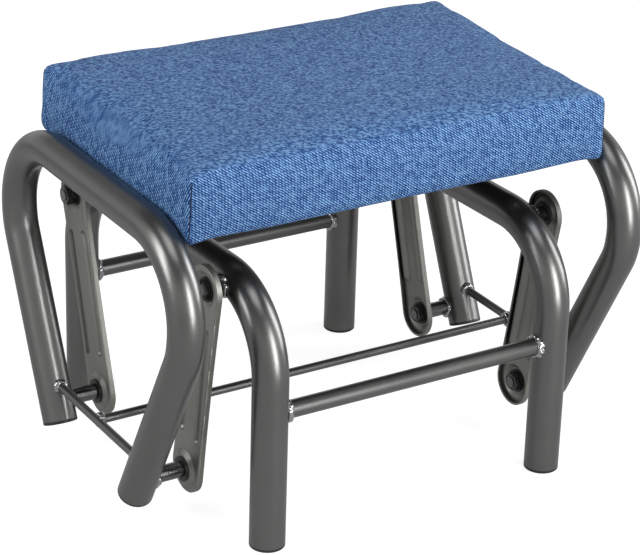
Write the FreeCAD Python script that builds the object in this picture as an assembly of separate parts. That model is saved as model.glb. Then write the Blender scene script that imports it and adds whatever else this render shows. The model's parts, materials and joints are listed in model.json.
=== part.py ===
import FreeCAD, Part
import math
import os

# Glider ottoman, in millimetres and degrees.
# A standing base of two tube hoops carries four swing links.
# The links carry a seat frame of two outer tube bows, with an upholstered cushion between them.
# X runs to the right, Y to the rear and Z up. The origin is on the floor under the middle of the base.

# Tubes and rods
TUBE_D = 32.0
TUBE_WALL = 1.5
CROSSBAR_D = 16.0
CROSSBAR_WALL = 1.5
ROD_D = 8.0

# Standing base
HOOP_PLANE_X = 148.0
HOOP_LEG_SPAN = 349.0
HOOP_TOP_Z = 230.0
HOOP_BEND_R = 74.0
FRONT_CROSSBAR_Z = 126.5
REAR_CROSSBAR_Z = 123.5

# Swing linkage
FRONT_STUD_Y = -117.0
REAR_STUD_Y = 129.0
STUD_DROP = 3.5
LINK_LENGTH = 186.0
LINK_LEAN = 9.3
LOWER_PIVOT_SPAN = 164.0
LINK_FACE_X = 181.0

# Stamped link
LINK_SHEET = 2.0
LINK_TOP_R = 22.5
LINK_BOTTOM_R = 23.0
LINK_WAIST = 1.5
LINK_RIM_DEPTH = 5.5
LINK_EDGE_R = 1.5
BEAD_OFFSET = 12.5
BEAD_R = 5.0
BEAD_RISE = 2.0
BEAD_END = 38.0
DISH_R = 17.0
DISH_FLOOR_R = 13.0
DISH_DEPTH = 3.0

# Pivots
STUD_D = 15.0
STUD_END_D = 10.0
STUD_END_PAST_NUT = 0.8
BUSH_D = 14.0
BUSH_FLANGE_R = 11.4
BUSH_FLANGE = 1.4
BUSH_RUNNING_GAP = 0.06
PRESS_GAP = 0.05
SIDE_GAP = 0.2
OPEN_PIVOT_GAP = 2.2
WASHER_R = 10.0
WASHER_T = 1.2
NUT_ACROSS_FLATS = 16.0
UPPER_NUT_H = 8.0
LOWER_NUT_H = 5.0
THREAD_GAP = 0.1

# Seat bows, measured from the line between the lower pivots
BOW_PLANE_X = 227.8
BOW_SHIFT_Y = -4.5
BOW_LEG_Y = 80.0
BOW_KNEE_Y = 154.5
BOW_KNEE_Z = 155.6
BOW_KNEE_R = 60.0
BOW_UPPER_LEAN = 5.7
BOW_UPPER_RUN = 3.2
BOW_TOP_R = 72.0
BOW_END_DROP = 13.0
SIDE_ROD_Z = 21.5

# Cushion and what carries it
CUSHION_OVERHANG = 1.2
CUSHION_D = 271.0
CUSHION_H = 67.0
CUSHION_CROWN = 5.0
CUSHION_CORNER_R = 8.0
CUSHION_SIDE_DRAW = 2.0
CUSHION_TAPER = 3.5
CUSHION_SINK = 2.0
CUSHION_PITCH = 1.6
BOARD_SIDE_GAP = 11.8
BOARD_MARGIN_D = 12.0
BOARD_T = 9.0
DUST_COVER_T = 1.0
DUST_COVER_MARGIN = 5.0
RAIL_FROM_BOARD_EDGE = 38.5
RAIL_TUCK = 8.0
SCREW_FROM_BOARD_END = 50.0
SCREW_D = 6.0
SCREW_HEAD_D = 12.0
SCREW_HEAD_H = 3.2
SCREW_BITE = 7.0
HOLE_GAP = 0.3
SEAT_GAP = 0.1

# End plugs and weld beads
PLUG_LIP = 3.0
PLUG_DEPTH = 16.0
PLUG_EDGE_R = 1.2
WELD_R = 2.4
WELD_SINK = 2.6
CREASE_R = 9.0
CREASE_DEPTH = 1.0

X_AXIS = FreeCAD.Vector(1, 0, 0)
Z_AXIS = FreeCAD.Vector(0, 0, 1)
ORIGIN = FreeCAD.Vector(0, 0, 0)


def vec(x, y, z):
    return FreeCAD.Vector(x, y, z)


def rod(start, end, radius):
    """A round bar between two points."""
    along = end.sub(start)
    return Part.makeCylinder(radius, along.Length, start, along)


def collar(start, end, outer_r, inner_r):
    """A ring or short sleeve between two points."""
    return rod(start, end, outer_r).cut(rod(start, end, inner_r))


def bent_route(x, corners, radii):
    """Straight runs through (y, z) corners in the plane at x, joined by tangent bends."""
    points = [vec(x, y, z) for y, z in corners]
    route = []
    last = points[0]
    for before, corner, after, radius in zip(points, points[1:-1], points[2:], radii):
        heading = corner.sub(before).normalize()
        leaving = after.sub(corner).normalize()
        turn = heading.getAngle(leaving)
        side = 1 if heading.cross(leaving).x > 0 else -1
        reach = radius * math.tan(turn / 2)
        start = corner.sub(heading * reach)
        center = start.add(X_AXIS.cross(heading) * (side * radius))
        route.append(("run", last, start))
        route.append(("bend", start, heading, center, side * math.degrees(turn)))
        last = corner.add(leaving * reach)
    route.append(("run", last, points[-1]))
    return route


def bent_bar(route, radius):
    """A solid round bar along a route of straight runs and bends."""
    pieces = []
    for kind, start, *rest in route:
        if kind == "run":
            pieces.append(rod(start, rest[0], radius))
        else:
            heading, center, angle = rest
            disc = Part.Face(Part.Wire([Part.makeCircle(radius, start, heading)]))
            pieces.append(disc.revolve(center, X_AXIS, angle))
    return pieces[0].fuse(pieces[1:])


def bent_tube(route):
    return bent_bar(route, TUBE_D / 2).cut(bent_bar(route, TUBE_D / 2 - TUBE_WALL))


def plug(mouth, outward):
    """An end plug: a stem inside the tube and a lip with a rounded edge over its end."""
    lip_r = TUBE_D / 2
    lip = Part.makeCylinder(lip_r, PLUG_LIP, mouth, outward)
    far = mouth.add(outward * PLUG_LIP)
    rim = [edge for edge in lip.Edges
           if edge.Curve.TypeId == "Part::GeomCircle" and edge.Curve.Center.distanceToPoint(far) < 0.01]
    lip = lip.makeFillet(PLUG_EDGE_R, rim)
    stem_r = lip_r - TUBE_WALL - PRESS_GAP
    stem = Part.makeCylinder(stem_r, PLUG_DEPTH, mouth, outward * -1)
    return lip.fuse(stem).removeSplitter()


def weld(start, along, bar_r, neighbours):
    """A rounded weld bead round a bar, standing off the face that the bar is welded to."""
    inside = start.sub(along * WELD_SINK)
    shoulder = start.add(along * (WELD_R * 0.4))
    ring = rod(inside, shoulder, bar_r + WELD_R)
    nose = Part.makeCone(bar_r + WELD_R, bar_r + WELD_R * 0.3, WELD_R * 0.7, shoulder, along)
    return ring.fuse(nose).cut(neighbours)


def mirrored(shape):
    """The left-hand copy of a right-hand piece."""
    return shape.mirror(ORIGIN, X_AXIS)


def pair(shape):
    """A right-hand piece together with its left-hand copy."""
    return [shape, mirrored(shape)]


# Four-bar linkage
STUD_Z = HOOP_TOP_Z - STUD_DROP


def lower_pivots():
    """The (y, z) of the front and rear lower pivots with the seat where it comes to rest."""
    lean = math.radians(LINK_LEAN)
    front_y = FRONT_STUD_Y + LINK_LENGTH * math.sin(lean)
    front_z = STUD_Z - LINK_LENGTH * math.cos(lean)
    gap_y = REAR_STUD_Y - front_y
    gap_z = STUD_Z - front_z
    gap = math.hypot(gap_y, gap_z)
    along = (LOWER_PIVOT_SPAN ** 2 - LINK_LENGTH ** 2 + gap ** 2) / (2 * gap)
    aside = math.sqrt(LOWER_PIVOT_SPAN ** 2 - along ** 2)
    rear_y = front_y + (gap_y * along + gap_z * aside) / gap
    rear_z = front_z + (gap_z * along - gap_y * aside) / gap
    return (front_y, front_z), (rear_y, rear_z)


FRONT_LOW, REAR_LOW = lower_pivots()
SEAT_TILT = math.degrees(math.atan2(REAR_LOW[1] - FRONT_LOW[1], REAR_LOW[0] - FRONT_LOW[0]))
SEAT_Y = (FRONT_LOW[0] + REAR_LOW[0]) / 2
SEAT_Z = (FRONT_LOW[1] + REAR_LOW[1]) / 2
REAR_LEAN = math.degrees(math.atan2(REAR_STUD_Y - REAR_LOW[0], STUD_Z - REAR_LOW[1]))

SEAT_PLACE = FreeCAD.Placement(vec(0, SEAT_Y, SEAT_Z), FreeCAD.Rotation(X_AXIS, SEAT_TILT))


def bow_top():
    """The (y, z) of the corner that the top bend rounds, from the knee up."""
    lean = math.radians(BOW_UPPER_LEAN)
    leg = math.atan2(BOW_KNEE_Y - BOW_LEG_Y, BOW_KNEE_Z)
    knee_reach = BOW_KNEE_R * math.tan((leg - lean) / 2)
    top_reach = BOW_TOP_R * math.tan((math.pi / 2 + lean) / 2)
    upper = knee_reach + BOW_UPPER_RUN + top_reach
    return BOW_KNEE_Y + upper * math.sin(lean), BOW_KNEE_Z + upper * math.cos(lean)


BOW_TOP_Y, BOW_TOP_Z = bow_top()
CUSHION_PLACE = SEAT_PLACE.multiply(
    FreeCAD.Placement(vec(0, 0, BOW_TOP_Z - CUSHION_SINK), FreeCAD.Rotation(X_AXIS, CUSHION_PITCH)))


def placed(shape, place):
    moved = shape.copy()
    moved.Placement = place.multiply(moved.Placement)
    return moved


# Stations along X through the pivots, for the right-hand side.
# The upper dish is pressed in and the lower one out, so that each nut sits in a recess.
TOP_FLOOR_X = LINK_FACE_X - DISH_DEPTH
LOW_FLOOR_X = LINK_FACE_X + DISH_DEPTH
TOP_BUSH_OUT_X = TOP_FLOOR_X + BUSH_FLANGE
TOP_BUSH_IN_X = TOP_FLOOR_X - LINK_SHEET - BUSH_FLANGE
LOW_BUSH_OUT_X = LOW_FLOOR_X + BUSH_FLANGE
LOW_BUSH_IN_X = LOW_FLOOR_X - LINK_SHEET - BUSH_FLANGE


# Standing base
def hoop_route():
    half = HOOP_LEG_SPAN / 2
    corners = [(-half, PLUG_LIP), (-half, HOOP_TOP_Z), (half, HOOP_TOP_Z), (half, PLUG_LIP)]
    return bent_route(HOOP_PLANE_X, corners, [HOOP_BEND_R, HOOP_BEND_R])


CROSSBAR_PLACES = [(-HOOP_LEG_SPAN / 2, FRONT_CROSSBAR_Z), (HOOP_LEG_SPAN / 2, REAR_CROSSBAR_Z)]


def foot_plugs():
    half = HOOP_LEG_SPAN / 2
    plugs = []
    for y in (-half, half):
        plugs += pair(plug(vec(HOOP_PLANE_X, y, PLUG_LIP), Z_AXIS * -1))
    return plugs


def base_crossbar(y, z):
    """A level tube between the legs, its ends cut to the legs' round sides."""
    left = vec(-HOOP_PLANE_X, y, z)
    right = vec(HOOP_PLANE_X, y, z)
    bar = collar(left, right, CROSSBAR_D / 2, CROSSBAR_D / 2 - CROSSBAR_WALL)
    for leg in base_legs(y):
        bar = bar.cut(leg)
    return bar


def base_legs(y):
    foot = vec(HOOP_PLANE_X, y, 0)
    top = vec(HOOP_PLANE_X, y, HOOP_TOP_Z - HOOP_BEND_R)
    return pair(rod(foot, top, TUBE_D / 2))


def crossbar_welds():
    beads = []
    bar_r = CROSSBAR_D / 2
    for y, z in CROSSBAR_PLACES:
        leg = base_legs(y)[0]
        bar = rod(vec(0, y, z), vec(HOOP_PLANE_X, y, z), bar_r)
        face = vec(HOOP_PLANE_X - TUBE_D / 2, y, z)
        beads += pair(weld(face, X_AXIS * -1, bar_r, [leg, bar]))
    return beads


def upper_stud(y, hoop):
    """A shouldered stud welded to the hoop's outer side, with a threaded end through the link."""
    shoulder_end = TOP_BUSH_IN_X - SIDE_GAP
    stud_end = TOP_BUSH_OUT_X + SIDE_GAP + WASHER_T + UPPER_NUT_H + STUD_END_PAST_NUT
    shoulder = rod(vec(HOOP_PLANE_X, y, STUD_Z), vec(shoulder_end, y, STUD_Z), STUD_D / 2)
    shank = rod(vec(shoulder_end, y, STUD_Z), vec(stud_end, y, STUD_Z), STUD_END_D / 2)
    return shoulder.cut(hoop).fuse(shank)


def upper_stud_weld(y, hoop, stud):
    face = vec(HOOP_PLANE_X + TUBE_D / 2, y, STUD_Z)
    return weld(face, X_AXIS, STUD_D / 2, [hoop, stud])


# Swing links, drawn hanging straight down from the upper pivot
def link_outline(inset):
    """The link's outline: a round head and a round foot joined by slightly waisted sides."""
    top_r = LINK_TOP_R - inset
    bottom_r = LINK_BOTTOM_R - inset
    waist = (top_r + bottom_r) / 2 - LINK_WAIST
    foot = vec(0, 0, -LINK_LENGTH)
    head_arc = Part.Arc(vec(0, top_r, 0), vec(0, 0, top_r), vec(0, -top_r, 0)).toShape()
    foot_arc = Part.Arc(vec(0, -bottom_r, foot.z), foot - Z_AXIS * bottom_r, vec(0, bottom_r, foot.z)).toShape()
    front = Part.Arc(vec(0, -top_r, 0), vec(0, -waist, foot.z / 2), vec(0, -bottom_r, foot.z)).toShape()
    rear = Part.Arc(vec(0, bottom_r, foot.z), vec(0, waist, foot.z / 2), vec(0, top_r, 0)).toShape()
    return Part.Wire([head_arc, front, foot_arc, rear])


def link_slab(inset, x_low, x_high):
    face = Part.Face(link_outline(inset))
    slab = face.extrude(vec(x_high - x_low, 0, 0))
    slab.translate(vec(x_low, 0, 0))
    return slab


def link_tray():
    """A shallow pan: a flat face with its edge turned in all round."""
    face_x = LINK_FACE_X
    tray = link_slab(0, face_x - LINK_RIM_DEPTH, face_x)
    rim = [edge for edge in tray.Edges if abs(edge.BoundBox.XMin - face_x) < 0.01]
    tray = tray.makeFillet(LINK_EDGE_R, rim)
    return tray.cut(link_slab(LINK_SHEET, face_x - LINK_RIM_DEPTH, face_x - LINK_SHEET))


def bead(y, radius):
    """A long bead with round ends, the same shape for its hollow and its ridge."""
    top = vec(LINK_FACE_X + BEAD_RISE, y, -BEAD_END)
    bottom = vec(LINK_FACE_X + BEAD_RISE, y, BEAD_END - LINK_LENGTH)
    return rod(bottom, top, radius).fuse([Part.makeSphere(radius, top), Part.makeSphere(radius, bottom)])


def dish(z, floor_x, hole_r):
    """A round dish round a pivot hole, of one sheet thickness, with its floor pressed in or out."""
    lean = math.copysign(LINK_SHEET / 2, LINK_FACE_X - floor_x)
    face_back = LINK_FACE_X - LINK_SHEET
    floor_back = floor_x - LINK_SHEET
    front_lean = max(-lean, 0)
    back_lean = max(lean, 0)
    profile = [
        (LINK_FACE_X, DISH_R + front_lean),
        (floor_x, DISH_FLOOR_R + front_lean),
        (floor_x, hole_r),
        (floor_back, hole_r),
        (floor_back, DISH_FLOOR_R + back_lean),
        (face_back, DISH_R + back_lean),
        (face_back, DISH_R + LINK_SHEET),
        (LINK_FACE_X, DISH_R + LINK_SHEET),
    ]
    points = [vec(x, 0, r) for x, r in profile]
    face = Part.Face(Part.makePolygon(points + points[:1]))
    shape = face.revolve(ORIGIN, X_AXIS, 360)
    shape.translate(vec(0, 0, z))
    return shape


def link_plate(lower_hole_r):
    plate = link_tray()
    inside = link_slab(LINK_SHEET / 2, LINK_FACE_X - LINK_RIM_DEPTH, LINK_FACE_X)
    for y in (-BEAD_OFFSET, BEAD_OFFSET):
        ridge = bead(y, BEAD_R + LINK_SHEET).common(inside)
        plate = plate.fuse(ridge).cut(bead(y, BEAD_R))
    pivots = ((0, TOP_FLOOR_X, BUSH_D / 2), (-LINK_LENGTH, LOW_FLOOR_X, lower_hole_r))
    for z, floor_x, hole_r in pivots:
        opening = rod(vec(LINK_FACE_X - LINK_RIM_DEPTH, 0, z), vec(LINK_FACE_X, 0, z), DISH_R + LINK_SHEET)
        plate = plate.cut(opening).fuse(dish(z, floor_x, hole_r))
    return plate.removeSplitter()


def bush(z, floor_x, floor_gap):
    """A flanged plastic bush. With a floor gap its flanges run clear of the link's sheet."""
    out_x = floor_x + BUSH_FLANGE
    back_x = floor_x - LINK_SHEET
    in_x = back_x - BUSH_FLANGE
    sleeve = rod(vec(in_x, 0, z), vec(out_x, 0, z), BUSH_D / 2 - PRESS_GAP)
    outer = rod(vec(floor_x + floor_gap, 0, z), vec(out_x, 0, z), BUSH_FLANGE_R)
    inner = rod(vec(in_x, 0, z), vec(back_x - floor_gap, 0, z), BUSH_FLANGE_R)
    bore = rod(vec(in_x, 0, z), vec(out_x, 0, z), STUD_END_D / 2 + BUSH_RUNNING_GAP)
    return sleeve.fuse([outer, inner]).cut(bore)


FRONT_LINK_PLACE = FreeCAD.Placement(vec(0, FRONT_STUD_Y, STUD_Z), FreeCAD.Rotation(X_AXIS, LINK_LEAN))
REAR_LINK_PLACE = FreeCAD.Placement(vec(0, REAR_STUD_Y, STUD_Z), FreeCAD.Rotation(X_AXIS, -REAR_LEAN))


def hex_nut(x, y, z, height):
    """A hexagon nut with its corners taken off, its inner face at x."""
    corner_r = NUT_ACROSS_FLATS / math.sqrt(3)
    turns = [math.radians(60 * i) for i in range(7)]
    outline = Part.makePolygon([vec(x, y + corner_r * math.cos(a), z + corner_r * math.sin(a)) for a in turns])
    nut = Part.Face(outline).extrude(vec(height, 0, 0))
    bevel = corner_r - NUT_ACROSS_FLATS / 2
    blunt = Part.makeCone(corner_r + height - bevel, NUT_ACROSS_FLATS / 2, height, vec(x, y, z), X_AXIS)
    bore = rod(vec(x, y, z), vec(x + height, y, z), STUD_END_D / 2 + THREAD_GAP)
    return nut.common(blunt).cut(bore)


def turned_inward(shape, x):
    """The piece turned about its inner face at x so that it points to the middle of the ottoman."""
    return shape.mirror(vec(x, 0, 0), X_AXIS)


def washer(x, y, z):
    return collar(vec(x, y, z), vec(x + WASHER_T, y, z), WASHER_R, STUD_END_D / 2 + HOLE_GAP)


# Seat frame, drawn level with its lower pivots on Y and the origin half-way between them
HALF_SPAN = LOWER_PIVOT_SPAN / 2
LEG_SLOPE = (BOW_KNEE_Y - BOW_LEG_Y) / BOW_KNEE_Z
LEG_END_Y = BOW_LEG_Y - BOW_END_DROP * LEG_SLOPE


def bow_route():
    half = [(LEG_END_Y, -BOW_END_DROP), (BOW_KNEE_Y, BOW_KNEE_Z), (BOW_TOP_Y, BOW_TOP_Z)]
    front = [(BOW_SHIFT_Y - y, z) for y, z in half]
    rear = [(BOW_SHIFT_Y + y, z) for y, z in reversed(half)]
    return bent_route(BOW_PLANE_X, front + rear, [BOW_KNEE_R, BOW_TOP_R, BOW_TOP_R, BOW_KNEE_R])


def leg_axis_y(side, z):
    """Where the front (-1) or rear (1) lower leg's axis is at a height z."""
    return BOW_SHIFT_Y + side * (BOW_LEG_Y + z * LEG_SLOPE)


def leg_crease():
    """A round hollow pressed in the rear leg's front side, from its end up to the side rod."""
    toward_front = vec(0, -1, LEG_SLOPE).normalize()
    reach = TUBE_D / 2 + CREASE_R
    end = vec(BOW_PLANE_X, leg_axis_y(1, -BOW_END_DROP - PLUG_LIP), -BOW_END_DROP - PLUG_LIP)
    rod_level = vec(BOW_PLANE_X, leg_axis_y(1, SIDE_ROD_Z), SIDE_ROD_Z)
    low = end.add(toward_front * (reach - CREASE_DEPTH))
    high = rod_level.add(toward_front * reach)
    return rod(low, high, CREASE_R)


def leg_plugs():
    plugs = []
    for side in (-1, 1):
        outward = vec(0, -side * LEG_SLOPE, -1).normalize()
        mouth = vec(BOW_PLANE_X, leg_axis_y(side, -BOW_END_DROP), -BOW_END_DROP)
        plugs += pair(plug(mouth, outward))
    return plugs


def side_rod(bow):
    front = vec(BOW_PLANE_X, leg_axis_y(-1, SIDE_ROD_Z), SIDE_ROD_Z)
    rear = vec(BOW_PLANE_X, leg_axis_y(1, SIDE_ROD_Z), SIDE_ROD_Z)
    return rod(front, rear, ROD_D / 2).cut(bow)


def middle_rod(right_side_rod):
    """A level rod across the seat, its ends cut to the round of the side rods."""
    y = BOW_SHIFT_Y
    bar = rod(vec(-BOW_PLANE_X, y, SIDE_ROD_Z), vec(BOW_PLANE_X, y, SIDE_ROD_Z), ROD_D / 2)
    return bar.cut(pair(right_side_rod))


def rod_welds(bow, side_bar):
    beads = []
    leg_half = TUBE_D / 2 * math.hypot(1, LEG_SLOPE)
    for side in (-1, 1):
        face = vec(BOW_PLANE_X, leg_axis_y(side, SIDE_ROD_Z) - side * leg_half, SIDE_ROD_Z)
        beads += pair(weld(face, vec(0, -side, 0), ROD_D / 2, [bow, side_bar]))
    middle = rod(vec(0, BOW_SHIFT_Y, SIDE_ROD_Z), vec(BOW_PLANE_X, BOW_SHIFT_Y, SIDE_ROD_Z), ROD_D / 2)
    face = vec(BOW_PLANE_X - ROD_D / 2, BOW_SHIFT_Y, SIDE_ROD_Z)
    beads += pair(weld(face, X_AXIS * -1, ROD_D / 2, [middle, side_bar]))
    return beads


def lower_stud(side, bow):
    """A shouldered stud welded to the bow's inner side, with a threaded end through the link."""
    y = side * HALF_SPAN
    shoulder_end = LOW_BUSH_OUT_X + SIDE_GAP
    stud_end = LOW_BUSH_IN_X - SIDE_GAP - WASHER_T - LOWER_NUT_H - STUD_END_PAST_NUT
    shoulder = rod(vec(shoulder_end, y, 0), vec(BOW_PLANE_X, y, 0), STUD_D / 2)
    shank = rod(vec(stud_end, y, 0), vec(shoulder_end, y, 0), STUD_END_D / 2)
    return shoulder.cut(bow).fuse(shank)


def lower_stud_weld(side, bow, stud):
    face = vec(BOW_PLANE_X - TUBE_D / 2, side * HALF_SPAN, 0)
    return weld(face, X_AXIS * -1, STUD_D / 2, [bow, stud])


def lower_washer(side):
    x = LOW_BUSH_IN_X - SIDE_GAP - WASHER_T
    return washer(x, side * HALF_SPAN, 0)


def lower_nut(side):
    x = LOW_BUSH_IN_X - SIDE_GAP - WASHER_T
    return turned_inward(hex_nut(x, side * HALF_SPAN, 0, LOWER_NUT_H), x)


# Cushion and rails, drawn level on the cushion's underside with the origin at its middle
BOW_INNER_X = BOW_PLANE_X - TUBE_D / 2
CUSHION_W = 2 * (BOW_INNER_X + CUSHION_OVERHANG)
BOARD_W = 2 * (BOW_INNER_X - BOARD_SIDE_GAP)
BOARD_D = CUSHION_D - 2 * BOARD_MARGIN_D
RAIL_OFFSET_Y = BOARD_D / 2 - RAIL_FROM_BOARD_EDGE
SCREW_X = BOARD_W / 2 - SCREW_FROM_BOARD_END


def cushion_outline(z, inset, draw):
    """A rectangle with round corners whose sides are drawn in between the corners."""
    half_w = CUSHION_W / 2 - inset
    half_d = CUSHION_D / 2 - inset
    r = CUSHION_CORNER_R
    cut = r * (1 - math.sqrt(0.5))
    edges = []
    for sx, sy in ((1, 1), (-1, 1), (-1, -1), (1, -1)):
        on_side = vec(sx * half_w, sy * (half_d - r), z)
        on_end = vec(sx * (half_w - r), sy * half_d, z)
        middle = vec(sx * (half_w - cut), sy * (half_d - cut), z)
        first, last = (on_side, on_end) if sx * sy > 0 else (on_end, on_side)
        edges.append(Part.Arc(first, middle, last).toShape())
        if sx * sy > 0:
            next_point = vec(-last.x, last.y, z)
            waist = vec(0, last.y - sy * draw, z)
        else:
            next_point = vec(last.x, -last.y, z)
            waist = vec(last.x - sx * draw, 0, z)
        edges.append(Part.Arc(last, waist, next_point).toShape())
    return Part.Wire(edges)


def cushion():
    """A boxed cushion: soft bulging sides, a crowned top and a pocket for the seat board."""
    edge_z = CUSHION_H - CUSHION_CROWN
    taper = CUSHION_TAPER
    draw = CUSHION_SIDE_DRAW
    sections = [
        cushion_outline(0, taper * 1.6, draw),
        cushion_outline(edge_z * 0.08, taper, draw),
        cushion_outline(edge_z * 0.5, taper / 4, draw),
        cushion_outline(edge_z * 0.93, 0, draw),
        cushion_outline(edge_z, taper / 2, draw),
        cushion_outline(edge_z + CUSHION_CROWN * 0.55, taper * 9, draw / 2),
        cushion_outline(CUSHION_H, taper * 24, draw / 4),
    ]
    body = Part.makeLoft(sections, True, True)
    clearance = HOLE_GAP
    pocket = Part.makeBox(BOARD_W + 2 * clearance, BOARD_D + 2 * clearance, DUST_COVER_T + BOARD_T,
                          vec(-BOARD_W / 2 - clearance, -BOARD_D / 2 - clearance, 0))
    return body.cut(pocket)


def screw_places():
    return [(x, y) for x in (-SCREW_X, SCREW_X) for y in (-RAIL_OFFSET_Y, RAIL_OFFSET_Y)]


def with_screw_holes(shape, z_low, z_high, gap):
    for x, y in screw_places():
        shape = shape.cut(rod(vec(x, y, z_low), vec(x, y, z_high), SCREW_D / 2 + gap))
    return shape


def seat_board():
    slab = Part.makeBox(BOARD_W, BOARD_D, BOARD_T, vec(-BOARD_W / 2, -BOARD_D / 2, DUST_COVER_T))
    return with_screw_holes(slab, 0, DUST_COVER_T + SCREW_BITE, PRESS_GAP)


def dust_cover():
    width = BOARD_W - 2 * DUST_COVER_MARGIN
    depth = BOARD_D - 2 * DUST_COVER_MARGIN
    sheet = Part.makeBox(width, depth, DUST_COVER_T, vec(-width / 2, -depth / 2, 0))
    return with_screw_holes(sheet, 0, DUST_COVER_T, HOLE_GAP)


RAIL_Z = -CROSSBAR_D / 2 - SEAT_GAP


def seat_rail(y, bow_in_place):
    """A tube across the seat under the cushion, its ends cut to the bows and tucked under them."""
    reach = BOW_PLANE_X - RAIL_TUCK
    rail = collar(vec(-reach, y, RAIL_Z), vec(reach, y, RAIL_Z), CROSSBAR_D / 2, CROSSBAR_D / 2 - CROSSBAR_WALL)
    rail = with_screw_holes(rail, RAIL_Z - CROSSBAR_D, 0, HOLE_GAP)
    return placed(rail, CUSHION_PLACE).cut(pair(bow_in_place))


def seat_screw(x, y):
    """A button-headed screw up through the rail into the board."""
    under = RAIL_Z - CROSSBAR_D / 2
    shank = rod(vec(x, y, under), vec(x, y, DUST_COVER_T + SCREW_BITE), SCREW_D / 2)
    dome_r = (SCREW_HEAD_D ** 2 / 4 + SCREW_HEAD_H ** 2) / (2 * SCREW_HEAD_H)
    ball = Part.makeSphere(dome_r, vec(x, y, under - SCREW_HEAD_H + dome_r))
    head = ball.common(rod(vec(x, y, under - SCREW_HEAD_H), vec(x, y, under), SCREW_HEAD_D / 2))
    return shank.fuse(head)


def save(node, solids):
    """Write one node: a single solid, or a group of like solids that share it."""
    shape = solids[0] if len(solids) == 1 else Part.makeCompound(solids)
    shape.exportStep("parts/" + node + ".step")
    print(node, len(shape.Solids), round(shape.Volume), shape.isValid())


def save_base():
    hoop = bent_tube(hoop_route())
    hoop_bar = bent_bar(hoop_route(), TUBE_D / 2)
    save("base_right_hoop", [hoop])
    save("base_left_hoop", [mirrored(hoop)])
    save("base_foot_plugs", foot_plugs())
    for node, place in zip(("base_front_crossbar", "base_rear_crossbar"), CROSSBAR_PLACES):
        save(node, [base_crossbar(*place)])
    save("base_crossbar_welds", crossbar_welds())
    right_studs = []
    beads = []
    washers = []
    nuts = []
    washer_x = TOP_BUSH_OUT_X + SIDE_GAP
    for y in (FRONT_STUD_Y, REAR_STUD_Y):
        stud = upper_stud(y, hoop_bar)
        right_studs.append(stud)
        beads += pair(upper_stud_weld(y, hoop_bar, stud))
        washers += pair(washer(washer_x, y, STUD_Z))
        nuts += pair(hex_nut(washer_x + WASHER_T, y, STUD_Z, UPPER_NUT_H))
    save("base_right_studs", right_studs)
    save("base_left_studs", [mirrored(stud) for stud in right_studs])
    save("base_stud_welds", beads)
    save("upper_washers", washers)
    save("upper_nuts", nuts)


def save_links():
    tight = link_plate(BUSH_D / 2)
    loose = link_plate(BUSH_D / 2 + OPEN_PIVOT_GAP)
    top_bush = bush(0, TOP_FLOOR_X, 0)
    low_bush = bush(-LINK_LENGTH, LOW_FLOOR_X, 0)
    open_bush = bush(-LINK_LENGTH, LOW_FLOOR_X, SIDE_GAP)
    front_plate = placed(tight, FRONT_LINK_PLACE)
    rear_plate = placed(loose, REAR_LINK_PLACE)
    front_bushes = [placed(top_bush, FRONT_LINK_PLACE), placed(low_bush, FRONT_LINK_PLACE)]
    rear_bush = placed(top_bush, REAR_LINK_PLACE)
    save("front_right_link", [front_plate])
    save("front_left_link", [mirrored(front_plate)])
    save("rear_right_link", [rear_plate])
    save("rear_left_link", [mirrored(rear_plate)])
    save("front_right_link_bushes", front_bushes)
    save("front_left_link_bushes", [mirrored(piece) for piece in front_bushes])
    save("rear_right_link_bush", [rear_bush])
    save("rear_left_link_bush", [mirrored(rear_bush)])
    save("rear_lower_bushes", pair(placed(open_bush, REAR_LINK_PLACE)))


def save_seat_frame():
    bow_bar = bent_bar(bow_route(), TUBE_D / 2)
    bow = placed(bent_tube(bow_route()).cut(leg_crease()), SEAT_PLACE)
    save("seat_right_bow", [bow])
    save("seat_left_bow", [mirrored(bow)])
    save("seat_leg_plugs", [placed(piece, SEAT_PLACE) for piece in leg_plugs()])
    side_bar = side_rod(bow_bar)
    right_rod = placed(side_bar, SEAT_PLACE)
    save("seat_right_side_rod", [right_rod])
    save("seat_left_side_rod", [mirrored(right_rod)])
    save("seat_middle_rod", [placed(middle_rod(side_bar), SEAT_PLACE)])
    save("seat_rod_welds", [placed(piece, SEAT_PLACE) for piece in rod_welds(bow_bar, side_bar)])
    studs = []
    beads = []
    washers = []
    nuts = []
    for side in (-1, 1):
        stud = lower_stud(side, bow_bar)
        studs.append(placed(stud, SEAT_PLACE))
        beads += pair(placed(lower_stud_weld(side, bow_bar, stud), SEAT_PLACE))
        washers += pair(placed(lower_washer(side), SEAT_PLACE))
        nuts += pair(placed(lower_nut(side), SEAT_PLACE))
    save("seat_right_studs", studs)
    save("seat_left_studs", [mirrored(stud) for stud in studs])
    save("seat_stud_welds", beads)
    save("lower_washers", washers)
    save("lower_nuts", nuts)
    bow_in_place = placed(bow_bar, SEAT_PLACE)
    save("seat_front_rail", [seat_rail(-RAIL_OFFSET_Y, bow_in_place)])
    save("seat_rear_rail", [seat_rail(RAIL_OFFSET_Y, bow_in_place)])


def save_cushion():
    save("seat_board", [placed(seat_board(), CUSHION_PLACE)])
    save("seat_dust_cover", [placed(dust_cover(), CUSHION_PLACE)])
    save("seat_cushion", [placed(cushion(), CUSHION_PLACE)])
    save("seat_screws", [placed(seat_screw(x, y), CUSHION_PLACE) for x, y in screw_places()])


os.makedirs("parts", exist_ok=True)
save_base()
save_links()
save_seat_frame()
save_cushion()
print("seat tilt", round(SEAT_TILT, 3), "rear lean", round(REAR_LEAN, 3))
print("front lower pivot", FRONT_LOW, "rear lower pivot", REAR_LOW)
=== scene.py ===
import json
import math

import bmesh
import bpy
import numpy as np
from mathutils import Matrix, Vector, noise
from mathutils.bvhtree import BVHTree


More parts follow.
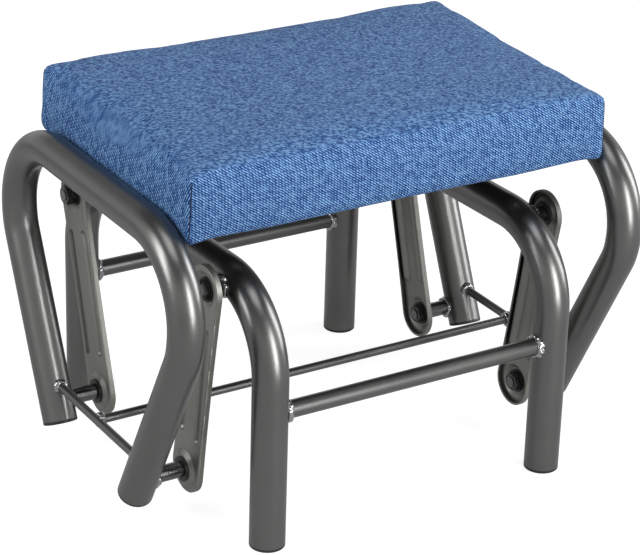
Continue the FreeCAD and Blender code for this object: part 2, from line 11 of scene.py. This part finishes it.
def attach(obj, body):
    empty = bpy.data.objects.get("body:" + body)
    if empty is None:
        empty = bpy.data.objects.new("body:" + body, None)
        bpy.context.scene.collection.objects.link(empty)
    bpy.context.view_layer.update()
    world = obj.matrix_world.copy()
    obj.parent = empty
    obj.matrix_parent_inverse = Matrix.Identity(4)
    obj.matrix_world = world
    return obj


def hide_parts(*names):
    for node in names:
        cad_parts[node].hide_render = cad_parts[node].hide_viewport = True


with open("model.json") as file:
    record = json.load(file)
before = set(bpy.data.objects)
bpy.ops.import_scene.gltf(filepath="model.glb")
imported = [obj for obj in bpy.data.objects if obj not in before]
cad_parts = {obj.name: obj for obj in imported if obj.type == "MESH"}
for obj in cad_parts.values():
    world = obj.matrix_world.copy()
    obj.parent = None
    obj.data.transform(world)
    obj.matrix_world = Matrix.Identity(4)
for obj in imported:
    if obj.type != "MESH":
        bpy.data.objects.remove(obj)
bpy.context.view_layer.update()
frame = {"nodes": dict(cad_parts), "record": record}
nodes = frame["nodes"]

# Camera
CAMERA_PLACE = Vector((-1.12785, -1.76962, 1.07773))
CAMERA_AZIMUTH = math.radians(-32.754)
CAMERA_HEIGHT_ANGLE = math.radians(23.739)
CAMERA_ROLL = math.radians(1.747)
CAMERA_LENS = 139.0

# Cushion
FOAM_VOXEL = 0.004
FOAM_PRESSURE = 4.0
FOAM_REACH = 0.003
CLOTH_STEPS = 20
TOP_EDGE_DROP = 0.005
CORNER_R = 0.003
SIDE_DRAW = 0.0010
CORNER_EAR = 0.0024
CORNER_EAR_SPAN = 0.018
CORNER_DROOP = 0.0038
CORNER_DROOP_SPAN = 0.030
CORNER_FALL = 0.0038
CORNER_FALL_SPAN = 0.045
SIDE_SAG = 0.0045
SIDE_SAG_SPAN = 0.012
FRONT_SAG = 0.0036
FRONT_SAG_SPAN = 0.012
LOW_BAND = 0.025
HIGH_BAND = 0.05
EAR_BAND = 0.06
UNDERSIDE_MARGIN = 0.0006
YARN_PITCH = 0.0025
SEAM_R = 0.0006
SEAM_START = 0.011

# Weld beads
BEAD_VOXEL = 0.0008
BEAD_LUMP_SIZE = 0.0034
BEAD_LUMP_HEIGHT = 0.0017
BEAD_SWELL = 0.0006


class Paint:
    """Writes shader nodes into one material, world or node group."""

    def __init__(self, tree):
        self.tree = tree

    def add(self, kind, settings=None, **inputs):
        made = self.tree.nodes.new(kind)
        for name, value in (settings or {}).items():
            setattr(made, name, value)
        for name, value in inputs.items():
            self.feed(made.inputs[name.replace("_", " ")], value)
        return made

    def feed(self, socket, value):
        if isinstance(value, bpy.types.NodeSocket):
            self.tree.links.new(value, socket)
        else:
            socket.default_value = value

    def math(self, operation, a, b=0.0, c=0.0):
        made = self.tree.nodes.new("ShaderNodeMath")
        made.operation = operation
        for socket, value in zip(made.inputs, (a, b, c)):
            self.feed(socket, value)
        return made.outputs[0]

    def mix(self, factor, a, b, blend="MIX"):
        made = self.tree.nodes.new("ShaderNodeMix")
        made.data_type = "RGBA"
        made.blend_type = blend
        self.feed(made.inputs[0], factor)
        self.feed(made.inputs[6], a)
        self.feed(made.inputs[7], b)
        return made.outputs[2]

    def ramp(self, value, low, high):
        made = self.tree.nodes.new("ShaderNodeMapRange")
        self.feed(made.inputs[0], value)
        made.inputs[1].default_value, made.inputs[2].default_value = low, high
        return made.outputs[0]

    def noise(self, where, scale, detail=3.0, rough=0.5):
        made = self.add("ShaderNodeTexNoise", Vector=where, Scale=scale, Detail=detail, Roughness=rough)
        return made.outputs[0]


def colour(red, green, blue):
    """A colour given as it looks on a screen, from 0 to 255, turned to linear light."""
    values = [c / 255 for c in (red, green, blue)]
    return [c / 12.92 if c <= 0.04045 else ((c + 0.055) / 1.055) ** 2.4 for c in values] + [1.0]


def group(name, inputs, outputs):
    """An empty shader node group with named inputs and outputs."""
    tree = bpy.data.node_groups.new(name, "ShaderNodeTree")
    for title, kind, value in inputs:
        made = tree.interface.new_socket(title, in_out="INPUT", socket_type=kind)
        if value is not None:
            made.default_value = value
    for title, kind in outputs:
        tree.interface.new_socket(title, in_out="OUTPUT", socket_type=kind)
    paint = Paint(tree)
    return paint, paint.add("NodeGroupInput").outputs, paint.add("NodeGroupOutput").inputs


NUMBER, COLOUR, VECTOR = "NodeSocketFloat", "NodeSocketColor", "NodeSocketVector"


def coat_group():
    """Satin powder coat: fine orange peel, faint mottling of its shade, and a little dust."""
    inputs = [("Vector", VECTOR, None), ("Colour", COLOUR, (0.1, 0.1, 0.1, 1)),
              ("Roughness", NUMBER, 0.35), ("Peel Size", NUMBER, 900.0), ("Mottle", NUMBER, 0.12)]
    paint, given, out = group("powder_coat_surface", inputs,
                              [("Colour", COLOUR), ("Roughness", NUMBER), ("Height", NUMBER)])
    peel = paint.noise(given["Vector"], given["Peel Size"], 2.0)
    cloud = paint.noise(given["Vector"], 26.0, 4.0)
    fleck = paint.noise(given["Vector"], 2600.0, 1.0)
    shade = paint.math("MULTIPLY", paint.math("SUBTRACT", cloud, 0.5), given["Mottle"])
    shade = paint.math("ADD", paint.math("ADD", shade, 1.0),
                       paint.math("MULTIPLY", paint.math("SUBTRACT", fleck, 0.5), 0.25))
    shaded = paint.add("ShaderNodeVectorMath", {"operation": "SCALE"})
    paint.feed(shaded.inputs[0], given["Colour"])
    paint.feed(shaded.inputs["Scale"], shade)
    paint.feed(out["Colour"], shaded.outputs[0])
    wave = paint.math("MULTIPLY", paint.math("SUBTRACT", cloud, 0.5), 0.12)
    paint.feed(out["Roughness"], paint.math("ADD", given["Roughness"], wave))
    paint.feed(out["Height"], peel)
    return paint.tree


def weave_group():
    """Upholstery cloth of mixed blue yarns: slanting ribs of short stitches, each with its own shade."""
    inputs = [("Across", NUMBER, 0.0), ("Along", NUMBER, 0.0), ("Pitch", NUMBER, YARN_PITCH),
              ("Slant", NUMBER, 0.7), ("Dark", COLOUR, (0, 0, 0, 1)), ("Middle", COLOUR, (0, 0, 0, 1)),
              ("Light", COLOUR, (0, 0, 0, 1)), ("Rib", NUMBER, 0.27), ("Heather", NUMBER, 0.3)]
    paint, given, out = group("mixed_yarn_weave", inputs, [("Colour", COLOUR), ("Height", NUMBER)])
    u = paint.math("DIVIDE", given["Across"], given["Pitch"])
    v = paint.math("DIVIDE", given["Along"], given["Pitch"])
    joined = paint.add("ShaderNodeCombineXYZ", X=u, Y=v).outputs[0]
    stretched = paint.add("ShaderNodeCombineXYZ", X=paint.math("MULTIPLY", u, 0.3), Y=v).outputs[0]
    wobble = paint.math("MULTIPLY", paint.math("SUBTRACT", paint.noise(joined, 0.3, 2.0), 0.5), 0.9)
    across_ribs = paint.math("ADD", paint.math("ADD", paint.math("MULTIPLY", u, given["Slant"]), v), wobble)
    along_rib = paint.math("SUBTRACT", u, paint.math("MULTIPLY", v, given["Slant"]))
    rib_number = paint.math("FLOOR", across_ribs)
    rib = paint.math("SINE", paint.math("MULTIPLY", across_ribs, 2 * math.pi))
    stitch = paint.math("ADD", paint.math("MULTIPLY", along_rib, 0.5),
                        paint.math("MULTIPLY", rib_number, 0.37))
    dash = paint.math("SINE", paint.math("MULTIPLY", stitch, 2 * math.pi))
    cell = paint.add("ShaderNodeCombineXYZ", X=paint.math("FLOOR", stitch), Y=rib_number).outputs[0]
    chance = paint.add("ShaderNodeTexWhiteNoise", {"noise_dimensions": "2D"}, Vector=cell).outputs[0]
    streak = paint.math("SUBTRACT", paint.noise(stretched, 1.1, 3.0, 0.7), 0.5)
    relief = paint.math("MULTIPLY", paint.math("ADD", rib, paint.math("MULTIPLY", dash, 0.5)), given["Rib"])
    mixed = paint.math("ADD", paint.math("SUBTRACT", chance, 0.5), paint.math("MULTIPLY", streak, 1.0))
    tone = paint.math("ADD", paint.math("ADD", relief, 0.5),
                      paint.math("MULTIPLY", mixed, given["Heather"]))
    deep = paint.mix(paint.ramp(tone, 0.1, 0.5), given["Dark"], given["Middle"])
    paint.feed(out["Colour"], paint.mix(paint.ramp(tone, 0.5, 0.95), deep, given["Light"]))
    paint.feed(out["Height"], tone)
    return paint.tree


COAT = coat_group()
WEAVE = weave_group()


def material(name):
    made = bpy.data.materials.new(name)
    made.use_nodes = True
    made.node_tree.nodes.clear()
    paint = Paint(made.node_tree)
    shader = paint.add("ShaderNodeBsdfPrincipled")
    out = paint.add("ShaderNodeOutputMaterial")
    paint.feed(out.inputs["Surface"], shader.outputs[0])
    return made, paint, shader


def place_group(paint, tree, **inputs):
    made = paint.add("ShaderNodeGroup", {"node_tree": tree})
    for title, value in inputs.items():
        paint.feed(made.inputs[title.replace("_", " ")], value)
    return made.outputs


def bumped(paint, shader, height, distance, strength=1.0):
    made = paint.add("ShaderNodeBump", Height=height, Distance=distance, Strength=strength)
    paint.feed(shader.inputs["Normal"], made.outputs[0])


def coated(name, shade, rough, metallic, coat, mottle=0.12, peel=900.0, bump=0.00004):
    """A powder-coated or plated metal."""
    made, paint, shader = material(name)
    where = paint.add("ShaderNodeTexCoord").outputs["Object"]
    surface = place_group(paint, COAT, Vector=where, Colour=shade, Roughness=rough, Peel_Size=peel,
                          Mottle=mottle)
    paint.feed(shader.inputs["Base Color"], surface["Colour"])
    paint.feed(shader.inputs["Roughness"], surface["Roughness"])
    shader.inputs["Metallic"].default_value = metallic
    shader.inputs["Coat Weight"].default_value = coat
    shader.inputs["Coat Roughness"].default_value = 0.18
    bumped(paint, shader, surface["Height"], bump)
    return made


def paint_hollow_shade(made, depth, painted_shade):
    """Paints shade into a metal finish's colour inside its pressed hollows: the less open sky an ambient
    occlusion finds at a point, the darker its colour.
    """
    paint = Paint(made.node_tree)
    shader = next(n for n in made.node_tree.nodes if n.type == "BSDF_PRINCIPLED")
    plain = shader.inputs["Base Color"].links[0].from_socket
    open_sky = paint.add("ShaderNodeAmbientOcclusion", {"samples": 8, "only_local": True}, Distance=depth)
    share = paint.ramp(open_sky.outputs["AO"], 0.35, 0.95)
    paint.feed(shader.inputs["Base Color"], paint.mix(share, painted_shade, plain))


def cloth(name):
    """The cushion's cloth: one weave each for the top, the front and the sides."""
    made, paint, shader = material(name)
    coords = paint.add("ShaderNodeTexCoord").outputs
    where = paint.add("ShaderNodeSeparateXYZ", Vector=coords["Object"]).outputs
    facing = paint.add("ShaderNodeSeparateXYZ", Vector=coords["Normal"]).outputs
    facing = [paint.math("ABSOLUTE", facing[i]) for i in range(3)]
    upward = paint.ramp(facing[2], 0.55, 0.75)
    sideways = paint.ramp(facing[0], 0.6, 0.75)
    shades = dict(Dark=colour(2, 32, 96), Middle=colour(42, 90, 152), Light=colour(140, 182, 222))
    top = place_group(paint, WEAVE, Across=where[0], Along=where[1], Rib=0.3, Heather=0.66, Slant=0.35,
                      Pitch=0.0012, **shades)
    front = place_group(paint, WEAVE, Across=where[0], Along=where[2], Rib=0.38, Heather=0.36,
                        Pitch=0.0023, **shades)
    side = place_group(paint, WEAVE, Across=where[1], Along=where[2], Rib=0.34, Heather=0.4, Slant=2.0,
                       Pitch=0.005, **shades)
    wall = paint.mix(sideways, front["Colour"], side["Colour"])
    paint.feed(shader.inputs["Base Color"], paint.mix(upward, wall, top["Colour"]))
    heights = [surface["Height"] for surface in (front, side, top)]
    wall_height = paint.math("ADD", paint.math("MULTIPLY", heights[0], paint.math("SUBTRACT", 1.0, sideways)),
                             paint.math("MULTIPLY", heights[1], sideways))
    height = paint.math("ADD", paint.math("MULTIPLY", wall_height, paint.math("SUBTRACT", 1.0, upward)),
                        paint.math("MULTIPLY", heights[2], upward))
    bumped(paint, shader, height, 0.0004, 0.6)
    shader.inputs["Roughness"].default_value = 0.9
    shader.inputs["Sheen Weight"].default_value = 0.05
    shader.inputs["Specular IOR Level"].default_value = 0.2
    return made


def plain_grain(name, shade, rough, scale, contrast):
    """Moulded plastic, ply or dust cloth: a noisy grain over one shade."""
    made, paint, shader = material(name)
    where = paint.add("ShaderNodeTexCoord").outputs["Object"]
    grain = paint.noise(where, scale, 4.0, 0.6)
    dark = [c * (1 - contrast) for c in shade[:3]] + [1.0]
    paint.feed(shader.inputs["Base Color"], paint.mix(grain, dark, shade))
    shader.inputs["Roughness"].default_value = rough
    bumped(paint, shader, grain, 0.0001)
    return made


CHARCOAL = coated("satin_charcoal_coat", colour(112, 112, 111), 0.32, 0.95, 0.15)
# Painted light: the links wear the same charcoal coat as the tubes, and their lighter shade stands in for the
# brighter reflections their flat faces catch.
LINK_COAT_PAINTED_LIGHTER = coated("pressed_steel_coat_painted_lighter", colour(140, 140, 135), 0.46, 0.85, 0.15, mottle=0.4)
# Painted shade: the link colour is darkened towards dark grey inside its pressed grooves.
paint_hollow_shade(LINK_COAT_PAINTED_LIGHTER, 0.006, colour(40, 40, 40))
ZINC = coated("bright_stud", colour(110, 110, 110), 0.14, 0.95, 0.4, mottle=0.2)
DARK_NUT = coated("dark_nut", colour(70, 70, 70), 0.28, 0.85, 0.3, mottle=0.3)
# Painted highlight: the weld beads carry the same coat as the tubes, and their lighter shade stands in for
# the bright glints on them.
WELD = coated("weld_coat_painted_lighter", colour(168, 168, 170), 0.13, 0.95, 0.4, mottle=0.4)
PLASTIC = plain_grain("black_moulded_plastic", colour(38, 38, 38), 0.42, 500.0, 0.25)
PLY = plain_grain("plywood_board", colour(190, 158, 116), 0.7, 60.0, 0.3)
DUST_CLOTH = plain_grain("black_dust_cloth", colour(34, 34, 36), 0.95, 900.0, 0.5)
FABRIC = cloth("blue_mixed_weave")
THREAD = plain_grain("dark_seam_thread", colour(24, 34, 62), 0.9, 900.0, 0.3)

FINISH_OF_SLOT = {
    "powder_coat": CHARCOAL,
    "link_steel": LINK_COAT_PAINTED_LIGHTER,
    "zinc": ZINC,
    "black_plastic": PLASTIC,
    "plywood": PLY,
    "dust_cloth": DUST_CLOTH,
    "blue_weave": FABRIC,
}


def dress_cad_nodes():
    """Gives every carried node its finish."""
    slots = {entry["node"]: entry["material_slot"] for entry in frame["record"]["subparts"]}
    for name, piece in nodes.items():
        finish = FINISH_OF_SLOT[slots[name]]
        if name.endswith("_welds"):
            finish = WELD
        if name.endswith(("_nuts", "_washers")):
            finish = DARK_NUT
        piece.data.materials.clear()
        piece.data.materials.append(finish)


def new_piece(name, mesh_builder, finish, body):
    """A mesh object made in mesh code, with its finish, riding on a body."""
    mesh = bpy.data.meshes.new(name)
    mesh_builder.to_mesh(mesh)
    mesh_builder.free()
    piece = bpy.data.objects.new(name, mesh)
    bpy.context.scene.collection.objects.link(piece)
    mesh.materials.append(finish)
    mesh.polygons.foreach_set("use_smooth", [True] * len(mesh.polygons))
    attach(piece, body)
    return piece


def only(piece):
    bpy.ops.object.select_all(action="DESELECT")
    piece.select_set(True)
    bpy.context.view_layer.objects.active = piece


def points_of(mesh):
    flat = np.zeros(len(mesh.vertices) * 3)
    mesh.vertices.foreach_get("co", flat)
    return flat.reshape(-1, 3)


def apply_modifier(piece, kind, **settings):
    only(piece)
    made = piece.modifiers.new("step", kind)
    for name, value in settings.items():
        setattr(made, name, value)
    bpy.ops.object.modifier_apply(modifier=made.name)


def swell(piece):
    """Blows the foam out under its cover with cloth, then caps how far any point has moved."""
    before = points_of(piece.data)
    cover = piece.modifiers.new("cover", "CLOTH")
    cover.settings.use_pressure = True
    cover.settings.uniform_pressure_force = FOAM_PRESSURE
    cover.settings.effector_weights.gravity = 0.0
    cover.settings.quality = 5
    scene = bpy.context.scene
    for step in range(1, CLOTH_STEPS + 1):
        scene.frame_set(step)
    only(piece)
    bpy.ops.object.modifier_apply(modifier=cover.name)
    moved = points_of(piece.data) - before
    length = np.linalg.norm(moved, axis=1, keepdims=True)
    moved *= np.minimum(1.0, FOAM_REACH / np.maximum(length, 1e-9))
    piece.data.vertices.foreach_set("co", (before + moved).ravel())
    scene.frame_set(1)


def seat_axes():
    """The cushion's own frame, read off the flat board inside it: origin on the underside."""
    board = points_of(nodes["seat_board"].data)
    middle = (board.min(axis=0) + board.max(axis=0)) / 2
    _, _, axes = np.linalg.svd(board - board.mean(axis=0), full_matrices=False)
    up = axes[2] * np.sign(axes[2][2])
    right = np.array([1.0, 0.0, 0.0])
    rear = np.cross(up, right)
    cover = points_of(nodes["seat_dust_cover"].data) - middle
    origin = middle + up * (cover @ up).min()
    origin[0] = 0.0
    return np.array([right, rear, up]), origin


def outline_ring(half_w, half_d, corner_r, draw, z, per_side=48, per_corner=8):
    """A rectangle of points with round corners and sides drawn in between them."""
    ring = []
    for sx, sy, start in ((1, 1, 0), (-1, 1, 90), (-1, -1, 180), (1, -1, 270)):
        for step in range(per_corner + 1):
            a = math.radians(start + 90 * step / per_corner)
            x = sx * (half_w - corner_r) + corner_r * math.cos(a)
            y = sy * (half_d - corner_r) + corner_r * math.sin(a)
            ring.append((x, y, z))
        along_x = sx * sy > 0
        x, y, _ = ring[-1]
        for step in range(1, per_side):
            t = step / per_side
            bow = draw * 4 * t * (1 - t)
            if along_x:
                ring.append((x * (1 - 2 * t), y - sy * bow, z))
            else:
                ring.append((x - sx * bow, y * (1 - 2 * t), z))
    return ring


def cushion_rings(half_w, half_d, height, pocket_w, pocket_d, pocket_h):
    """Rings from the pocket's roof, out under the cushion, up its sides and in over its crown."""
    edge = height - TOP_EDGE_DROP
    sides = [(0.0, 0.0025, 0.1), (0.0012, 0.0008, 0.1), (0.006, 0.0, 0.2), (0.5 * edge, 0.0, 0.8),
             (edge - 0.006, 0.0, 1.0), (edge - 0.0015, 0.0007, 1.0), (edge + 0.001, 0.0032, 1.0)]
    rings = [outline_ring(pocket_w * 0.5, pocket_d * 0.5, 0.001, 0, pocket_h),
             outline_ring(pocket_w, pocket_d, 0.001, 0, pocket_h),
             outline_ring(pocket_w, pocket_d, 0.001, 0, 0)]
    rings += [outline_ring(half_w - i, half_d - i, CORNER_R + i, SIDE_DRAW * share, z)
              for z, i, share in sides]
    for share in (0.88, 0.72, 0.5, 0.25):
        z = edge + 0.001 + (height - edge - 0.001) * (1 - share ** 3)
        rings.append(outline_ring(half_w * share, half_d * share, 0.007, SIDE_DRAW * share, z))
    return rings


def sag_and_ears(points, half_w, half_d):
    """Pulls the corners out a little, and lets the cloth hang lower at them and along every side."""
    from_side = half_w - np.abs(points[:, 0])
    from_front = half_d - np.abs(points[:, 1])
    low = np.clip(1 - points[:, 2] / LOW_BAND, 0, 1) ** 2
    near = np.hypot(from_side, from_front)
    fade = 1 - 0.7 * np.clip(points[:, 2] / EAR_BAND, 0, 1)
    ear = np.exp(-(near / CORNER_EAR_SPAN) ** 2) * CORNER_EAR * fade
    droop = np.exp(-(near / CORNER_DROOP_SPAN) ** 2) * CORNER_DROOP
    sag = np.maximum(np.exp(-(from_side / SIDE_SAG_SPAN) ** 2) * SIDE_SAG,
                     np.exp(-(from_front / FRONT_SAG_SPAN) ** 2) * FRONT_SAG)
    points[:, 0] += np.sign(points[:, 0]) * ear
    points[:, 1] += np.sign(points[:, 1]) * ear
    high = np.clip(points[:, 2] / HIGH_BAND, 0, 1) ** 2
    fall = np.exp(-(near / CORNER_FALL_SPAN) ** 2) * CORNER_FALL
    points[:, 2] -= np.maximum(droop, sag) * low + fall * high
    return points


def lofted(rings):
    """A closed mesh over rings of equal length, with a flat cap at either end."""
    builder = bmesh.new()
    count = len(rings[0])
    rows = [[builder.verts.new(p) for p in ring] for ring in rings]
    for lower, upper in zip(rows, rows[1:]):
        for i in range(count):
            j = (i + 1) % count
            builder.faces.new((lower[i], lower[j], upper[j], upper[i]))
    builder.faces.new(rows[0][::-1])
    builder.faces.new(rows[-1])
    return builder


def corner_seams(cushion, axes, origin, half_w, half_d, height):
    """A fine dark sewn line down each upright corner, laid on the finished cloth."""
    tree = BVHTree.FromObject(cushion, bpy.context.evaluated_depsgraph_get())
    builder = bmesh.new()
    for sx, sy in ((1, 1), (-1, 1), (-1, -1), (1, -1)):
        outward = Vector(axes.T @ np.array([sx, sy, 0.0])).normalized()
        path = []
        for step in range(41):
            z = -CORNER_DROOP + (height - SEAM_START + CORNER_DROOP) * step / 40
            middle = Vector(origin + axes.T @ np.array([sx * (half_w - 0.02), sy * (half_d - 0.02), z]))
            hit = tree.ray_cast(middle + outward * 0.05, -outward)[0]
            if hit is not None and (hit - middle).length < 0.05:
                path.append(hit - outward * SEAM_R * 0.3)
        sweep(builder, path, SEAM_R)
    new_piece("cushion_corner_seams", builder, THREAD, "seat")


def sweep(builder, path, radius, sides=8):
    """A thin round cord of mesh along a path."""
    rows = []
    for i, point in enumerate(path):
        along = (path[min(i + 1, len(path) - 1)] - path[max(i - 1, 0)]).normalized()
        first = first - along * first.dot(along) if rows else along.orthogonal()
        first = first.normalized()
        second = along.cross(first)
        turns = [2 * math.pi * k / sides for k in range(sides)]
        rows.append([builder.verts.new(point + (first * math.cos(t) + second * math.sin(t)) * radius)
                     for t in turns])
    for lower, upper in zip(rows, rows[1:]):
        for k in range(sides):
            j = (k + 1) % sides
            builder.faces.new((lower[k], lower[j], upper[j], upper[k]))
    builder.faces.new(rows[0][::-1])
    builder.faces.new(rows[-1])


def make_cushion():
    """The padded cushion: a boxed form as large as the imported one, swollen, with sewn corners."""
    axes, origin = seat_axes()
    local = (points_of(nodes["seat_cushion"].data) - origin) @ axes.T
    half_w, half_d = np.abs(local[:, 0]).max(), np.abs(local[:, 1]).max()
    height = local[:, 2].max()
    board = (points_of(nodes["seat_board"].data) - origin) @ axes.T
    pocket = np.abs(board).max(axis=0) + UNDERSIDE_MARGIN
    rings = cushion_rings(half_w, half_d, height, *pocket)
    builder = lofted(rings)
    piece = new_piece("cushion", builder, FABRIC, "seat")
    points = sag_and_ears(points_of(piece.data), half_w, half_d)
    piece.data.vertices.foreach_set("co", (points @ axes + origin).ravel())
    apply_modifier(piece, "REMESH", mode="VOXEL", voxel_size=FOAM_VOXEL)
    swell(piece)
    apply_modifier(piece, "SMOOTH", factor=0.5, iterations=1)
    apply_modifier(piece, "SUBSURF", levels=1)
    piece.data.polygons.foreach_set("use_smooth", [True] * len(piece.data.polygons))
    corner_seams(piece, axes, origin, half_w, half_d, height)
    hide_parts("seat_cushion")


def lumpy_welds(node, body):
    """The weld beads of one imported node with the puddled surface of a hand-made weld."""
    mesh = nodes[node].data.copy()
    mesh.name = node.replace("welds", "weld_beads")
    piece = bpy.data.objects.new(mesh.name, mesh)
    bpy.context.scene.collection.objects.link(piece)
    mesh.materials.clear()
    mesh.materials.append(WELD)
    apply_modifier(piece, "WELD", merge_threshold=0.00005)
    apply_modifier(piece, "REMESH", mode="VOXEL", voxel_size=BEAD_VOXEL)
    points = points_of(piece.data)
    normals = np.zeros(len(points) * 3)
    piece.data.vertices.foreach_get("normal", normals)
    lumps = np.array([noise.noise(Vector(p) / BEAD_LUMP_SIZE) for p in points])
    moved = points + normals.reshape(-1, 3) * (BEAD_SWELL + lumps * BEAD_LUMP_HEIGHT)[:, None]
    piece.data.vertices.foreach_set("co", moved.ravel())
    piece.data.polygons.foreach_set("use_smooth", [True] * len(piece.data.polygons))
    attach(piece, body)
    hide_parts(node)


def make_camera():
    """The camera from which the photograph was taken."""
    sin_a, cos_a = math.sin(CAMERA_AZIMUTH), math.cos(CAMERA_AZIMUTH)
    sin_e, cos_e = math.sin(CAMERA_HEIGHT_ANGLE), math.cos(CAMERA_HEIGHT_ANGLE)
    back = Vector((sin_a * cos_e, -cos_a * cos_e, sin_e))
    right = (-back).cross(Vector((0, 0, 1))).normalized()
    up = right.cross(-back)
    roll = Matrix.Rotation(CAMERA_ROLL, 3, back)
    right, up = roll @ right, roll @ up
    data = bpy.data.cameras.new("photo_camera")
    data.lens = CAMERA_LENS
    data.sensor_width = 36.0
    data.sensor_fit = "HORIZONTAL"
    data.clip_end = 50.0
    camera = bpy.data.objects.new("photo_camera", data)
    turned = Matrix((right, up, back)).transposed().to_4x4()
    camera.matrix_world = Matrix.Translation(CAMERA_PLACE) @ turned
    bpy.context.scene.collection.objects.link(camera)
    bpy.context.scene.camera = camera


def soft_box(name, place, size, power):
    """An oblong studio lamp aimed at the middle of the ottoman."""
    data = bpy.data.lights.new(name, "AREA")
    data.shape = "RECTANGLE"
    data.size, data.size_y = size
    data.energy = power
    lamp = bpy.data.objects.new(name, data)
    lamp.location = place
    aim = Vector((0, 0, 0.2)) - Vector(place)
    lamp.rotation_mode = "QUATERNION"
    lamp.rotation_quaternion = aim.to_track_quat("-Z", "Y")
    lamp.visible_camera = False
    bpy.context.scene.collection.objects.link(lamp)


def seen_white(paint, dim, to_camera, mirrored):
    """A strength that is white to the camera, pale in reflections and dimmer as light."""
    rays = paint.add("ShaderNodeLightPath").outputs
    reflected = paint.math("MAXIMUM", rays["Is Glossy Ray"], rays["Is Transmission Ray"])
    strength = paint.math("ADD", dim, paint.math("MULTIPLY", reflected, mirrored - dim))
    return paint.math("ADD", strength, paint.math("MULTIPLY", rays["Is Camera Ray"], to_camera - dim))


def make_world():
    """A white surround that is darker overhead for every ray but the camera's own."""
    world = bpy.data.worlds.new("white_studio")
    world.use_nodes = True
    world.node_tree.nodes.clear()
    paint = Paint(world.node_tree)
    heading = paint.add("ShaderNodeSeparateXYZ", Vector=paint.add("ShaderNodeTexCoord").outputs["Generated"])
    overhead = paint.ramp(heading.outputs[2], 0.35, 0.75)
    camera_ray = paint.add("ShaderNodeLightPath").outputs["Is Camera Ray"]
    darker = paint.math("MULTIPLY", paint.math("MULTIPLY", overhead, 0.85),
                        paint.math("SUBTRACT", 1.0, camera_ray))
    strength = paint.math("MULTIPLY", seen_white(paint, 0.42, 1.0, 0.7), paint.math("SUBTRACT", 1.0, darker))
    light = paint.add("ShaderNodeBackground", Color=(1, 1, 1, 1), Strength=strength)
    out = paint.add("ShaderNodeOutputWorld")
    paint.feed(out.inputs["Surface"], light.outputs[0])
    bpy.context.scene.world = world


def make_floor():
    """A wide pale floor that shows white and keeps a light shadow."""
    builder = bmesh.new()
    bmesh.ops.create_grid(builder, x_segments=2, y_segments=2, size=30.0)
    mesh = bpy.data.meshes.new("floor")
    builder.to_mesh(mesh)
    builder.free()
    floor = bpy.data.objects.new("floor", mesh)
    floor.location.z = -0.0002
    bpy.context.scene.collection.objects.link(floor)
    made = bpy.data.materials.new("white_floor")
    made.use_nodes = True
    made.node_tree.nodes.clear()
    paint = Paint(made.node_tree)
    glow = paint.add("ShaderNodeEmission", Color=(1, 1, 1, 1), Strength=seen_white(paint, 0.0, 0.86, 0.24))
    matt = paint.add("ShaderNodeBsdfDiffuse", Color=(0.35, 0.35, 0.35, 1))
    both = paint.add("ShaderNodeAddShader")
    paint.feed(both.inputs[0], glow.outputs[0])
    paint.feed(both.inputs[1], matt.outputs[0])
    paint.feed(paint.add("ShaderNodeOutputMaterial").inputs["Surface"], both.outputs[0])
    mesh.materials.append(made)


WELD_BODIES = {"base_crossbar_welds": "base", "base_stud_welds": "base",
               "seat_rod_welds": "seat", "seat_stud_welds": "seat"}

dress_cad_nodes()
make_cushion()
for weld_node, weld_body in WELD_BODIES.items():
    lumpy_welds(weld_node, weld_body)
make_camera()
make_world()
make_floor()
soft_box("left_lamp", (-2.2, 0.1, 1.3), (0.8, 1.5), 28.0)
soft_box("front_lamp", (0.3, -2.15, 0.75), (0.7, 1.5), 34.0)
soft_box("right_lamp", (2.1, -0.7, 1.0), (0.8, 1.6), 30.0)
soft_box("top_lamp", (-0.3, -0.6, 2.8), (1.4, 1.4), 16.0)

bpy.context.scene.view_settings.view_transform = "Standard"
